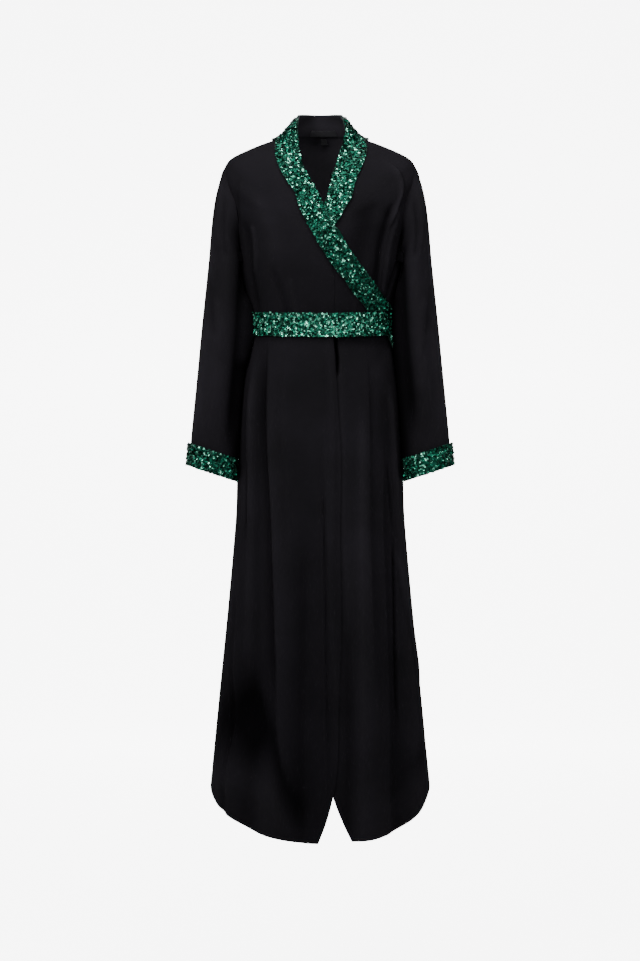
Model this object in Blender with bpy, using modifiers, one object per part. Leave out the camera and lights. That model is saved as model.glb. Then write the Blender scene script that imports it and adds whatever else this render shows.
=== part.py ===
"""Long dress with a wrap front, long set-in sleeves and raised trims at neck, waist and cuffs.

The cloth stands as it does when worn, hollow, with no wearer. Sizes are in metres, +Z up, the
front faces -Y and the origin is level with the shoulders, midway between them.
"""
import math
from collections import namedtuple

import bpy
import numpy as np

for item in list(bpy.data.objects):
    bpy.data.objects.remove(item, do_unlink=True)

# Walls and seams
CLOTH_WALL = 0.0014
TRIM_WALL = 0.0024
LABEL_WALL = 0.0010
SEAM_GAP = 0.0005
TRIM_CLEAR = 0.0008
BELT_CLEAR = 0.0010

# Heights at the side seam, measured from the shoulder level
HEM_Z = -1.350
BELT_TOP_Z = -0.3615
BELT_BOTTOM_Z = -0.4105
WAIST_SEAM_Z = -0.387
SHOULDER_POINT_Z = -0.050
NECK_SEAM_Z = 0.003
COLLAR_TOP_Z = 0.047

# Armhole: an oval in height and angle round the side of the body
ARMHOLE_MIDDLE_Z = -0.144
ARMHOLE_HALF_HEIGHT = 0.094
ARMHOLE_HALF_ANGLE = 30.0
ARMHOLE_ROWS = 12

# Body sections from the collar top to the hem. Each is a ring that may dip at the front or
# rise at the back: side_z is its height at the side seam, front_z and back_z its height at the
# middle of front and back; half_width, front and back are its half sizes.
Section = namedtuple("Section", "side_z half_width front back front_z back_z")
BODY = (
    Section(0.047, 0.044, 0.046, 0.063, -0.030, 0.0665),
    Section(0.022, 0.067, 0.059, 0.071, -0.045, 0.051),
    Section(0.003, 0.090, 0.070, 0.080, -0.060, 0.029),
    Section(-0.007, 0.118, 0.086, 0.091, -0.082, 0.008),
    Section(-0.020, 0.150, 0.100, 0.101, -0.110, -0.028),
    Section(-0.037, 0.184, 0.112, 0.109, -0.140, -0.075),
    Section(-0.062, 0.202, 0.119, 0.112, -0.163, -0.115),
    Section(-0.130, 0.200, 0.126, 0.110, -0.193, -0.165),
    Section(-0.225, 0.180, 0.129, 0.104, -0.228, -0.226),
    Section(-0.280, 0.171, 0.127, 0.100, -0.284, -0.281),
    Section(-0.330, 0.160, 0.117, 0.096, -0.337, -0.331),
    Section(-0.363, 0.153, 0.109, 0.093, -0.372, -0.363),
    Section(-0.412, 0.152, 0.108, 0.095, -0.422, -0.413),
    Section(-0.450, 0.156, 0.113, 0.106, -0.461, -0.451),
    Section(-0.530, 0.167, 0.121, 0.121, -0.542, -0.532),
    Section(-0.630, 0.1735, 0.126, 0.129, -0.646, -0.634),
    Section(-0.700, 0.1740, 0.129, 0.132, -0.720, -0.706),
    Section(-0.775, 0.1755, 0.132, 0.134, -0.800, -0.782),
    Section(-0.860, 0.182, 0.137, 0.139, -0.893, -0.870),
    Section(-0.965, 0.1915, 0.143, 0.145, -1.007, -0.982),
    Section(-1.175, 0.2125, 0.155, 0.157, -1.238, -1.208),
    Section(-1.350, 0.2295, 0.165, 0.166, -1.442, -1.405),
)

# Largest folds. Angle is measured round the body from the front middle, positive to the
# wearer's left; width is the half width in degrees; height is outward (minus for a trough).
Fold = namedtuple("Fold", "top_z bottom_z top_angle bottom_angle width height")
FOLDS = (
    Fold(-0.43, -1.30, -47, -27, 8, 0.006),
    Fold(-0.45, -1.20, -60, -40, 7, -0.004),
    Fold(-0.73, -1.35, -72, -58, 9, 0.004),
    Fold(-0.70, -1.35, -12, -10, 9, -0.005),
    Fold(-0.50, -1.35, 30, 27, 9, 0.006),
    Fold(-0.45, -1.30, 52, 42, 8, -0.004),
    Fold(-0.75, -1.35, 68, 60, 9, 0.004),
    Fold(-0.46, -1.35, 118, 112, 10, 0.007),
    Fold(-0.50, -1.30, 142, 136, 9, -0.006),
    Fold(-0.46, -1.35, 166, 162, 10, 0.006),
    Fold(-0.52, -1.35, 195, 190, 9, -0.006),
    Fold(-0.46, -1.35, 216, 219, 10, 0.006),
    Fold(-0.55, -1.30, 244, 248, 9, -0.006),
)

# Free edges of the two fronts, as angles at each height of the side seam. The upper front is
# the wearer's right one (negative angles) and reaches past the middle.
Edge = namedtuple("Edge", "side_z angle")
UPPER_EDGE = (
    Edge(0.0030, -73.0), Edge(-0.0028, -58.5), Edge(-0.0087, -44.5), Edge(-0.0161, -32.2),
    Edge(-0.0256, -20.3), Edge(-0.0378, -12.0), Edge(-0.0858, -6.4), Edge(-0.1614, -3.0),
    Edge(-0.2229, 0.8), Edge(-0.2511, 5.0), Edge(-0.2700, 7.5), Edge(-0.3633, 10.7),
    Edge(-0.4171, 10.3), Edge(-0.4897, 11.6), Edge(-0.5870, 12.8), Edge(-0.6241, 13.6),
    Edge(-0.8066, 13.2), Edge(-0.9500, 13.0), Edge(-1.1012, 10.5), Edge(-1.2718, 6.7),
    Edge(-1.3152, 3.0), Edge(-1.3500, -1.0),
)
UNDER_EDGE = (
    Edge(0.0030, 73.0), Edge(-0.0058, 54.0), Edge(-0.0137, 37.0), Edge(-0.0251, 22.6),
    Edge(-0.0463, 14.8), Edge(-0.0752, 9.2), Edge(-0.1288, 5.0), Edge(-0.2300, 1.0),
    Edge(-0.3633, -1.0), Edge(-0.5500, -0.5), Edge(-0.7193, 0.7), Edge(-0.9162, 2.2),
    Edge(-1.0491, 4.0), Edge(-1.2718, 6.7), Edge(-1.3175, 11.8), Edge(-1.3500, 16.2),
)

# How far the under front sits inside the body rings, full up to one angle and gone by another.
Tuck = namedtuple("Tuck", "side_z depth full_to gone_by")
TUCK = (
    Tuck(0.030, 0.0054, 6.0, 30.0), Tuck(-0.020, 0.0054, 12.0, 44.0),
    Tuck(-0.160, 0.0056, 24.0, 54.0), Tuck(-0.270, 0.0056, 46.0, 72.0),
    Tuck(-0.330, 0.0056, 70.0, 86.0), Tuck(-0.420, 0.0050, 70.0, 86.0),
    Tuck(-0.500, 0.0040, 26.0, 60.0), Tuck(-0.700, 0.0034, 20.0, 45.0),
    Tuck(-1.350, 0.0034, 20.0, 45.0),
)

# Neck bands: seam and fold edge of the band, station by station from the shoulder seam down.
Station = namedtuple("Station", "seam_angle seam_z fold_angle fold_z")
UPPER_BAND = (
    Station(-89.9, -0.0010, -89.9, 0.0470), Station(-79.0, 0.0000, -74.0, 0.0450),
    Station(-70.0, -0.0002, -62.5, 0.0380), Station(-61.8, -0.0028, -48.5, 0.0275),
    Station(-47.9, -0.0087, -33.5, 0.0095), Station(-35.6, -0.0161, -21.5, -0.0022),
    Station(-23.7, -0.0256, -10.8, -0.0122), Station(-15.3, -0.0378, -4.5, -0.0225),
    Station(-9.6, -0.0858, 1.0, -0.0410), Station(-6.0, -0.1614, 5.5, -0.0850),
    Station(-2.2, -0.2229, 9.4, -0.1602), Station(3.0, -0.2511, 15.4, -0.2232),
    Station(10.7, -0.2807, 24.5, -0.2600), Station(16.7, -0.2987, 34.5, -0.2900),
    Station(23.4, -0.3225, 46.0, -0.3170), Station(32.3, -0.3438, 59.0, -0.3400),
    Station(38.9, -0.3600, 73.1, -0.3590),
)
UNDER_BAND = (
    Station(89.9, -0.0010, 89.9, 0.0470), Station(79.0, 0.0000, 75.0, 0.0420),
    Station(71.0, -0.0002, 63.0, 0.0310), Station(57.6, -0.0058, 44.0, 0.0210),
    Station(40.6, -0.0137, 31.0, 0.0085), Station(26.1, -0.0251, 14.2, -0.0065),
    Station(18.3, -0.0463, 7.1, -0.0219), Station(12.5, -0.0752, 3.0, -0.0420),
    Station(9.1, -0.1288, -1.5, -0.0850), Station(6.5, -0.1750, -4.5, -0.1420),
    Station(4.0, -0.2150, -7.5, -0.1900),
)

# Sleeve sections below the armhole, at the wearer's left; the other sleeve is its mirror. The
# sections lean by tilt (rise to the outside) and keep clear of the body on the inside.
Sleeve = namedtuple("Sleeve", "z centre_x centre_y half_x half_y tilt")
SLEEVE = (
    Sleeve(-0.262, 0.1888, -0.008, 0.0448, 0.066, 0.00),
    Sleeve(-0.330, 0.1930, -0.014, 0.0470, 0.061, 0.05),
    Sleeve(-0.400, 0.1973, -0.020, 0.0493, 0.056, 0.12),
    Sleeve(-0.470, 0.2033, -0.026, 0.0493, 0.050, 0.18),
    Sleeve(-0.540, 0.2098, -0.032, 0.0488, 0.044, 0.24),
    Sleeve(-0.600, 0.2150, -0.036, 0.0490, 0.038, 0.30),
    Sleeve(-0.640, 0.2185, -0.038, 0.0490, 0.034, 0.33),
    Sleeve(-0.664, 0.2198, -0.039, 0.0490, 0.0325, 0.33),
)
SLEEVE_CLEAR = 0.0062
ARMHOLE_INSET = 0.0010
SLEEVE_POINTS = 2 * ARMHOLE_ROWS
CAP_STEPS = (0.10, 0.24, 0.42, 0.62, 0.82)

# Each sleeve is built in three lengths: the cap, the elbow and the forearm
SLEEVE_LENGTHS = (("_cap", slice(0, 2)), ("_elbow", slice(1, 4)), ("_forearm", slice(3, 8)))

# Cuffs are slightly wider than the sleeve end and go on below it.
CUFF = (
    Sleeve(-0.6515, 0.2198, -0.039, 0.0523, 0.0368, 0.33),
    Sleeve(-0.6730, 0.2212, -0.0395, 0.0527, 0.0368, 0.33),
    Sleeve(-0.6960, 0.2228, -0.040, 0.0531, 0.0368, 0.33),
)

BODY_TABLE = np.array(BODY)[::-1]
TUCK_TABLE = np.array(TUCK)[::-1]


def smooth(stations, values, at):
    """Value between the rows of a table, with rounded changes of direction."""
    slopes = np.gradient(values, stations)
    at = np.clip(at, stations[0], stations[-1])
    k = np.clip(np.searchsorted(stations, at) - 1, 0, len(stations) - 2)
    step = stations[k + 1] - stations[k]
    t = (at - stations[k]) / step
    return ((1 + 2 * t) * (1 - t) ** 2 * values[k] + t * (1 - t) ** 2 * step * slopes[k]
            + t * t * (3 - 2 * t) * values[k + 1] + t * t * (t - 1) * step * slopes[k + 1])


def ease(t):
    t = np.clip(t, 0.0, 1.0)
    return t * t * (3 - 2 * t)


def ring(side_z, angle):
    """Points of the body rings, angle in degrees from the front middle."""
    side_z = np.asarray(side_z, float)
    turn = np.radians(np.asarray(angle, float))
    w, f, b, fz, bz = (smooth(BODY_TABLE[:, 0], BODY_TABLE[:, i], side_z) for i in range(1, 6))
    c = np.cos(turn)
    front = c > 0
    power = np.interp(side_z, [-1.35, -0.45], [1.2, 2.0])
    share = np.abs(c) ** power
    lift = np.interp(side_z, [NECK_SEAM_Z, COLLAR_TOP_Z], [1.4, 1.75])
    level_back = np.minimum(1.0, lift * np.abs(c) ** 1.5)
    rise = np.interp(side_z, [-0.020, NECK_SEAM_Z], [0.0, 1.0])
    share = np.where(front, share, share + (level_back - share) * rise)
    z = side_z + (np.where(front, fz, bz) - side_z) * share
    return np.stack([w * np.sin(turn), -np.where(front, f, b) * c, z], -1)


def fold_height(side_z, angle):
    """Outward rise of the large folds."""
    total = np.zeros(np.broadcast(side_z, angle).shape)
    for fold in FOLDS:
        along = (fold.top_z - side_z) / (fold.top_z - fold.bottom_z)
        middle = fold.top_angle + (fold.bottom_angle - fold.top_angle) * np.clip(along, 0, 1)
        off = (np.mod(angle - middle + 180.0, 360.0) - 180.0) / fold.width
        total = total + fold.height * ease(along * 2.2) * np.exp(-off * off)
    return total


def body(side_z, angle, out=0.0):
    """Points on the body surface with its folds, moved outward by out."""
    side_z, angle, out = np.broadcast_arrays(np.asarray(side_z, float), angle, out)
    step_a, step_z = 0.5, 0.0015
    round_way = ring(side_z, angle + step_a) - ring(side_z, angle - step_a)
    up_way = ring(side_z + step_z, angle) - ring(side_z - step_z, angle)
    normal = np.cross(round_way, up_way)
    normal /= np.linalg.norm(normal, axis=-1, keepdims=True)
    rise = fold_height(side_z, angle) + out
    return ring(side_z, angle) + normal * rise[..., None]


def tuck_depth(side_z, angle):
    """Inward shift of the under front at an angle on the wearer's left."""
    depth, full, gone = (np.interp(side_z, TUCK_TABLE[:, 0], TUCK_TABLE[:, i]) for i in (1, 2, 3))
    return -depth * (1.0 - ease((angle - full) / (gone - full)))


def material(name, colour, roughness, metallic=0.0):
    made = bpy.data.materials.new(name)
    made.use_nodes = True
    shader = made.node_tree.nodes["Principled BSDF"]
    shader.inputs["Base Color"].default_value = (*colour, 1.0)
    shader.inputs["Roughness"].default_value = roughness
    shader.inputs["Metallic"].default_value = metallic
    return made


COLLECTION = bpy.data.collections.new("maxi_dress")
bpy.context.scene.collection.children.link(COLLECTION)


def sheet(name, points, wall, colour, roughness=0.6, around=False, metallic=0.0):
    """One cut of cloth: a grid of points given a wall; around closes it to a tube."""
    rows, columns = points.shape[:2]
    verts = [tuple(p) for p in points.reshape(-1, 3)]
    faces = []
    for r in range(rows - 1):
        for c in range(columns if around else columns - 1):
            d = (c + 1) % columns
            faces.append((r * columns + c, r * columns + d, (r + 1) * columns + d,
                          (r + 1) * columns + c))
    mesh = bpy.data.meshes.new(name)
    mesh.from_pydata(verts, [], faces)
    mesh.validate()
    mesh.update()
    made = bpy.data.objects.new(name, mesh)
    COLLECTION.objects.link(made)
    made.data.materials.append(material(name + "_cloth", colour, roughness, metallic))
    shell = made.modifiers.new("wall", "SOLIDIFY")
    shell.thickness = wall
    shell.offset = 0.0
    shell.use_even_offset = False
    return made


BLACK = (0.012, 0.012, 0.013)
GREEN = (0.005, 0.085, 0.045)
GAP_ANGLE = math.degrees(SEAM_GAP / 2 / 0.11)

# Heights of the rows of skirt and bodice. The waist seam between them lies under the belt.
UNDERARM_Z = ARMHOLE_MIDDLE_Z - ARMHOLE_HALF_HEIGHT
armhole_turn = np.radians(np.linspace(180, 0, ARMHOLE_ROWS + 1))
CALF_ROWS = np.concatenate([
    np.array([HEM_Z, -1.316, -1.272]),
    np.linspace(-1.200, -0.990 - SEAM_GAP, 4),
])
KNEE_ROWS = np.linspace(-0.990, -0.710 - SEAM_GAP, 5)
HIP_ROWS = np.concatenate([
    np.array([-0.710, -0.640]),
    np.linspace(-0.580, -0.440, 4),
    np.array([-0.412, WAIST_SEAM_Z - SEAM_GAP]),
])
BODICE_ROWS = np.concatenate([
    np.array([WAIST_SEAM_Z, -0.362, -0.334, -0.302, -0.270]),
    ARMHOLE_MIDDLE_Z + ARMHOLE_HALF_HEIGHT * np.cos(armhole_turn),
    np.array([-0.0378, -0.0256, -0.0161, -0.0087, -0.0028, NECK_SEAM_Z]),
])


def side_angle(side_z):
    """Angle where a panel ends at the side: the side or shoulder seam, or the armhole."""
    reach = (side_z - ARMHOLE_MIDDLE_Z) / ARMHOLE_HALF_HEIGHT
    cut = ARMHOLE_HALF_ANGLE * np.sqrt(np.clip(1.0 - reach * reach, 0.0, 1.0))
    return 90.0 - GAP_ANGLE - cut


def edge_angle(table, side_z):
    rows = np.array(table)[::-1]
    return smooth(rows[:, 0], rows[:, 1], side_z)


# Fronts: wearer's right on top, wearer's left beneath it at the middle. Back: one cut of bodice
# and one of skirt between the side seams.
def panels(part_of_dress, rows):
    height = rows[:, None]
    side = side_angle(height)
    upper = edge_angle(UPPER_EDGE, height)
    under = edge_angle(UNDER_EDGE, height)
    spread = np.linspace(0.0, 1.0, 12)
    upper_angle = -side + (upper + side) * spread
    sheet(part_of_dress + "_right", body(height, upper_angle), CLOTH_WALL, BLACK)
    under_angle = under + (side - under) * spread
    tucked = body(height, under_angle, tuck_depth(height, under_angle))
    sheet(part_of_dress + "_left", tucked, CLOTH_WALL, BLACK)
    back_angle = (180.0 - side) + 2.0 * side * np.linspace(0.0, 1.0, 15)
    sheet(part_of_dress + "_back", body(height, back_angle), CLOTH_WALL, BLACK)


# The skirt is built in three lengths, at the hips, the knees and the calves
panels("skirt_calf", CALF_ROWS)
panels("skirt_knee", KNEE_ROWS)
panels("skirt_hip", HIP_ROWS)
panels("bodice", BODICE_ROWS)


# Neck bands lie on the fronts and cover their cut edges
def band(name, table, inward=None, columns=4):
    stations = np.array(table)
    count = len(stations)
    at = np.arange(count, dtype=float)
    fine = np.linspace(0, count - 1, 2 * count - 1)
    seam_a, seam_z, fold_a, fold_z = (smooth(at, stations[:, i], fine)[:, None] for i in range(4))
    across = np.linspace(0.0, 1.0, columns)[None, :]
    angle = seam_a + (fold_a - seam_a) * across
    side_z = seam_z + (fold_z - seam_z) * across
    out = CLOTH_WALL / 2 + TRIM_CLEAR + TRIM_WALL / 2
    shift = 0.0 if inward is None else inward(side_z, angle)
    sheet(name, body(side_z, angle, out + shift), TRIM_WALL, GREEN, 0.3, metallic=0.6)


band("band_right", UPPER_BAND, columns=5)
band("band_left", UNDER_BAND, tuck_depth)

# Standing collar behind the neck, with its black inside
around_back = np.linspace(90.0 + 2 * GAP_ANGLE, 270.0 - 2 * GAP_ANGLE, 15)[None, :]
up = np.linspace(0.0, 1.0, 5)[:, None]
collar_out = CLOTH_WALL / 2 + TRIM_CLEAR + TRIM_WALL / 2
collar_z = -0.001 + (COLLAR_TOP_Z + 0.001) * up
sheet("collar", body(collar_z, around_back, collar_out), TRIM_WALL, GREEN, 0.3,
      metallic=0.6)
facing_angle = np.linspace(98.0, 262.0, 17)[None, :]
facing_z = -0.006 + (COLLAR_TOP_Z + 0.005) * up
facing_out = np.interp(facing_z, [0.005, COLLAR_TOP_Z - 0.001], [-0.0032, -0.0006])
sheet("collar_facing", body(facing_z, facing_angle, facing_out), LABEL_WALL, BLACK)

# Label and size tab sewn inside the back neck, without any lettering
label_angle = 180.0 - np.linspace(-14.0, 24.0, 5)[None, :]
label_up = np.linspace(0.0, 1.0, 3)[:, None]
sheet("neck_label", body(0.0012 + 0.0108 * label_up, label_angle, -0.0047), LABEL_WALL,
      (0.02, 0.02, 0.02))
tab_angle = 180.0 - np.linspace(1.0, 8.0, 3)[None, :]
sheet("size_tab", body(-0.0046 + 0.0053 * label_up, tab_angle, -0.0052), LABEL_WALL,
      (0.02, 0.02, 0.02))

# Wrap extension from the middle line across to the wearer's left waist
wrap_rows = np.array([-0.405, -0.385, -0.362, -0.340, -0.318, -0.298, -0.284, -0.276])
band_seam = np.array([(s.seam_z, s.seam_angle) for s in UPPER_BAND[10:]])[::-1]
wrap_start = edge_angle(UPPER_EDGE, wrap_rows) + 0.16
wrap_end = np.interp(wrap_rows, band_seam[:, 0], band_seam[:, 1]) + 3.0
wrap_end[:2] = (48.0, 44.0)
wrap_angle = wrap_start[:, None] + (wrap_end - wrap_start)[:, None] * np.linspace(0, 1, 6)
sheet("wrap_panel", body(wrap_rows[:, None], wrap_angle), CLOTH_WALL, BLACK)

# Belt in front and back halves, and its short end
belt_out = CLOTH_WALL / 2 + BELT_CLEAR + TRIM_WALL / 2
belt_z = np.linspace(BELT_BOTTOM_Z, BELT_TOP_Z - 0.0012, 4)[:, None]
front_turn = np.linspace(-90.0 + 3 * GAP_ANGLE, 90.0 - 3 * GAP_ANGLE, 21)[None, :]
sheet("belt_front", body(belt_z, front_turn, belt_out), TRIM_WALL, GREEN, 0.3, metallic=0.6)
sheet("belt_back", body(belt_z, front_turn + 180.0, belt_out), TRIM_WALL, GREEN, 0.3, metallic=0.6)
tail_z = np.linspace(-0.437, BELT_BOTTOM_Z - 0.0012, 4)[:, None]
tail_angle = np.linspace(71.0, 84.0, 4)[None, :] + 4.0 * (BELT_BOTTOM_Z - tail_z) / 0.03
sheet("belt_tail", body(tail_z, tail_angle, belt_out - 0.0004), TRIM_WALL, GREEN, 0.3,
      metallic=0.6)


def body_half_width(y, z):
    """Half width of the body at a depth and height, near its side."""
    side_z = np.array(z, float)
    for _ in range(6):
        w, f, b, fz, bz = (smooth(BODY_TABLE[:, 0], BODY_TABLE[:, i], side_z) for i in range(1, 6))
        share = np.clip(np.abs(y) / np.where(y < 0, f, b), 0, 1)
        side_z = z - (np.where(y < 0, fz, bz) - side_z) * share ** 2
    return w * np.sqrt(1.0 - share ** 2)


def sleeve_ring(row, clear=SLEEVE_CLEAR):
    turn = np.linspace(0, 2 * np.pi, SLEEVE_POINTS, endpoint=False)
    x = row.centre_x + row.half_x * np.cos(turn)
    y = row.centre_y - row.half_y * np.sin(turn)
    z = row.z + row.tilt * row.half_x * np.cos(turn)
    x = np.maximum(x, body_half_width(y, z) + clear)
    return np.stack([x, y, z], -1)


def armhole_ring():
    turn = np.linspace(0, 2 * np.pi, SLEEVE_POINTS, endpoint=False)
    half_angle = ARMHOLE_HALF_ANGLE - math.degrees(ARMHOLE_INSET / 0.12)
    half_height = ARMHOLE_HALF_HEIGHT - ARMHOLE_INSET
    angle = 90.0 - half_angle * np.sin(turn)
    side_z = ARMHOLE_MIDDLE_Z + half_height * np.cos(turn)
    return body(side_z, angle, 0.0006)


def sleeve(name, side_sign):
    turn = np.linspace(0, 2 * np.pi, SLEEVE_POINTS, endpoint=False)
    start = armhole_ring()
    first = sleeve_ring(SLEEVE[0])
    reach = np.linalg.norm(first - start, axis=1)[:, None]
    level = np.abs(np.cos(turn))
    leave = np.stack([0.85 - 0.50 * level, -0.45 * np.sin(turn), -0.45 - 0.50 * level], -1)
    leave /= np.linalg.norm(leave, axis=1)[:, None]
    arrive = np.stack([0.10 * np.cos(turn) ** 2, 0 * turn, -1.0 + 0 * turn], -1)
    rings = [start]
    for t in CAP_STEPS:
        at = ((1 + 2 * t) * (1 - t) ** 2 * start + t * (1 - t) ** 2 * reach * leave
              + t * t * (3 - 2 * t) * first + t * t * (t - 1) * reach * arrive)
        least = body_half_width(at[:, 1], at[:, 2]) + SLEEVE_CLEAR * min(1.0, 8 * t)
        at[:, 0] = np.maximum(at[:, 0], least)
        rings.append(at)
    for length, rows in SLEEVE_LENGTHS:
        points = np.array(rings + [sleeve_ring(row) for row in SLEEVE[rows]])
        points[:len(rings) or 1, :, 2] -= 0.0 if rings else SEAM_GAP
        points[..., 0] *= side_sign
        sheet(name + length, points, CLOTH_WALL, BLACK, around=True)
        rings = []


def cuff(name, side_sign):
    points = np.array([sleeve_ring(row, SLEEVE_CLEAR - 0.0027) for row in CUFF])
    points[..., 0] *= side_sign
    sheet(name, points, TRIM_WALL, GREEN, 0.3, around=True, metallic=0.6)


sleeve("sleeve_left", 1)
sleeve("sleeve_right", -1)
cuff("cuff_left", 1)
cuff("cuff_right", -1)
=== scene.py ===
"""Looks of a long black wrap-front dress with sequined neck band, belt and cuffs.

It is shown hollow, filled out as it is when worn, with no wearer. Sizes are in metres.
"""
import math
from collections import namedtuple

import bpy
import numpy as np
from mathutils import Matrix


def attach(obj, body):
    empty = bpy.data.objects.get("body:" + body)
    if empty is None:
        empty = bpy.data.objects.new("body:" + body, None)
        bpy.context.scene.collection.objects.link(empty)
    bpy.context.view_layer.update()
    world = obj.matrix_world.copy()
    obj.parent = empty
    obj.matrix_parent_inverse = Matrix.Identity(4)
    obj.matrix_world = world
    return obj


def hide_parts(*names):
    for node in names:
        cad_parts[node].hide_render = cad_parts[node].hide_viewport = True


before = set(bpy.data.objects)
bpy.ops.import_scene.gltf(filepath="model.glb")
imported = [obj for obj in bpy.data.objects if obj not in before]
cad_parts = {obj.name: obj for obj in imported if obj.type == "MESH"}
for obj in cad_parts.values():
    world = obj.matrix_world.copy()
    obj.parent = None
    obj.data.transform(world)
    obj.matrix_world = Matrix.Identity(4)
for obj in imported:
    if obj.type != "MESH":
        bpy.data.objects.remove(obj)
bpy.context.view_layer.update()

# Skirt: two fronts that lap at the middle, the wearer's right one on top, and a back. Each is
# cut from black crepe, joined at the side seams and set into the waist seam under the belt.
# The cloth hangs in long soft folds, uneven in length and depth.
Section = namedtuple("Section", "side_z half_width front back front_z back_z")
BODY = np.array((
    Section(0.047, 0.044, 0.046, 0.063, -0.030, 0.0665),
    Section(0.022, 0.067, 0.059, 0.071, -0.045, 0.051),
    Section(0.003, 0.090, 0.070, 0.080, -0.060, 0.029),
    Section(-0.007, 0.118, 0.086, 0.091, -0.082, 0.008),
    Section(-0.020, 0.150, 0.100, 0.101, -0.110, -0.028),
    Section(-0.037, 0.184, 0.112, 0.109, -0.140, -0.075),
    Section(-0.062, 0.202, 0.119, 0.112, -0.163, -0.115),
    Section(-0.130, 0.200, 0.126, 0.110, -0.193, -0.165),
    Section(-0.225, 0.180, 0.129, 0.104, -0.228, -0.226),
    Section(-0.280, 0.171, 0.127, 0.100, -0.284, -0.281),
    Section(-0.330, 0.160, 0.117, 0.096, -0.337, -0.331),
    Section(-0.363, 0.153, 0.109, 0.093, -0.372, -0.363),
    Section(-0.412, 0.152, 0.108, 0.095, -0.422, -0.413),
    Section(-0.450, 0.156, 0.113, 0.106, -0.461, -0.451),
    Section(-0.530, 0.167, 0.121, 0.121, -0.542, -0.532),
    Section(-0.630, 0.1735, 0.126, 0.129, -0.646, -0.634),
    Section(-0.700, 0.1740, 0.129, 0.132, -0.720, -0.706),
    Section(-0.775, 0.1755, 0.132, 0.134, -0.800, -0.782),
    Section(-0.860, 0.182, 0.137, 0.139, -0.893, -0.870),
    Section(-0.965, 0.1915, 0.143, 0.145, -1.007, -0.982),
    Section(-1.175, 0.2125, 0.155, 0.157, -1.238, -1.208),
    Section(-1.350, 0.2295, 0.165, 0.166, -1.442, -1.405),
))[::-1]
HEM_Z = -1.350
WAIST_Z = -0.387
CLOTH = 0.0013
SEAM = 0.0006
SIDE_SEAM = 89.99

# Large folds run to the hem. Creases end softly both ways. Angles go round the body from the
# front middle, positive to the wearer's left; heights are outward, minus for a trough.
Fold = namedtuple("Fold", "top_z bottom_z top_angle bottom_angle width height")
FOLDS = (
    Fold(-0.43, -1.30, -47, -27, 8, 0.006),
    Fold(-0.45, -1.20, -60, -40, 7, -0.004),
    Fold(-0.73, -1.35, -72, -58, 9, 0.004),
    Fold(-0.70, -1.35, -12, -10, 9, -0.003),
    Fold(-0.50, -1.35, 30, 27, 9, 0.006),
    Fold(-0.45, -1.30, 52, 42, 8, -0.004),
    Fold(-0.75, -1.35, 68, 60, 9, 0.004),
    Fold(-0.46, -1.35, 118, 112, 10, 0.007),
    Fold(-0.50, -1.30, 142, 136, 9, -0.006),
    Fold(-0.46, -1.35, 166, 162, 10, 0.006),
    Fold(-0.52, -1.35, 195, 190, 9, -0.006),
    Fold(-0.46, -1.35, 216, 219, 10, 0.006),
    Fold(-0.55, -1.30, 244, 248, 9, -0.006),
)
# Creases have a soft side and a sharper one: half widths to the wearer's right and left.
Crease = namedtuple("Crease", "top_z bottom_z top_angle bottom_angle right left height")
CREASES = (
    # wearer's right front
    Crease(-0.40, -1.27, -46.0, -23.5, 9.0, 1.7, -0.0110),
    Crease(-0.42, -1.20, -42.0, -19.5, 1.8, 7.0, 0.0022),
    Crease(-0.44, -1.18, -60.0, -44.0, 5.0, 4.0, 0.0075),
    Crease(-0.66, -0.84, -61.5, -59.0, 1.0, 2.0, -0.0040),
    Crease(-0.90, -1.34, -66.0, -60.0, 4.0, 2.5, -0.0050),
    Crease(-0.45, -0.95, -27.0, -20.0, 3.0, 5.0, 0.0016),
    Crease(-0.80, -1.34, -12.0, -9.0, 5.0, 2.0, -0.0024),
    Crease(-0.41, -0.90, 6.5, 9.5, 2.6, 3.0, 0.0026),
    Crease(-0.66, -1.31, 0.6, 6.4, 0.7, 1.0, -0.0030),
    Crease(-0.55, -1.31, 4.0, 9.5, 1.6, 3.0, 0.0022),
    # wearer's left front
    Crease(-0.38, -0.50, 11.4, 13.2, 1.3, 1.1, -0.0150),
    Crease(-0.42, -1.10, 15.5, 18.0, 2.6, 5.0, 0.0030),
    Crease(-0.52, -1.35, 31.0, 22.0, 3.0, 5.0, 0.0045),
    Crease(-0.66, -0.82, 54.5, 58.0, 2.0, 1.0, -0.0040),
    Crease(-0.50, -0.90, 60.0, 66.0, 3.0, 5.0, 0.0050),
    Crease(-0.80, -1.22, 57.5, 49.0, 2.2, 0.9, -0.0070),
    Crease(-0.84, -1.18, 60.5, 78.0, 1.6, 5.0, 0.0085),
    Crease(-0.60, -1.35, 49.0, 37.0, 4.0, 2.4, 0.0040),
    Crease(-0.44, -1.10, 41.0, 33.0, 1.6, 4.0, -0.0028),
    Crease(-0.95, -1.35, 18.0, 15.0, 3.0, 1.6, -0.0030),
    # back
    Crease(-0.42, -1.20, 104.0, 99.0, 4.0, 2.0, -0.0050),
    Crease(-0.40, -1.35, 128.0, 121.0, 2.0, 5.0, -0.0070),
    Crease(-0.40, -1.05, 152.0, 149.0, 3.0, 2.4, 0.0040),
    Crease(-0.42, -1.35, 174.0, 171.0, 4.0, 1.6, -0.0060),
    Crease(-0.55, -1.35, 186.0, 181.0, 3.0, 4.0, 0.0034),
    Crease(-0.40, -1.15, 203.0, 205.0, 1.6, 4.0, -0.0050),
    Crease(-0.43, -1.35, 232.0, 234.0, 6.0, 1.8, -0.0070),
    Crease(-0.70, -1.35, 256.0, 258.0, 3.0, 4.0, 0.0040),
)
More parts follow.
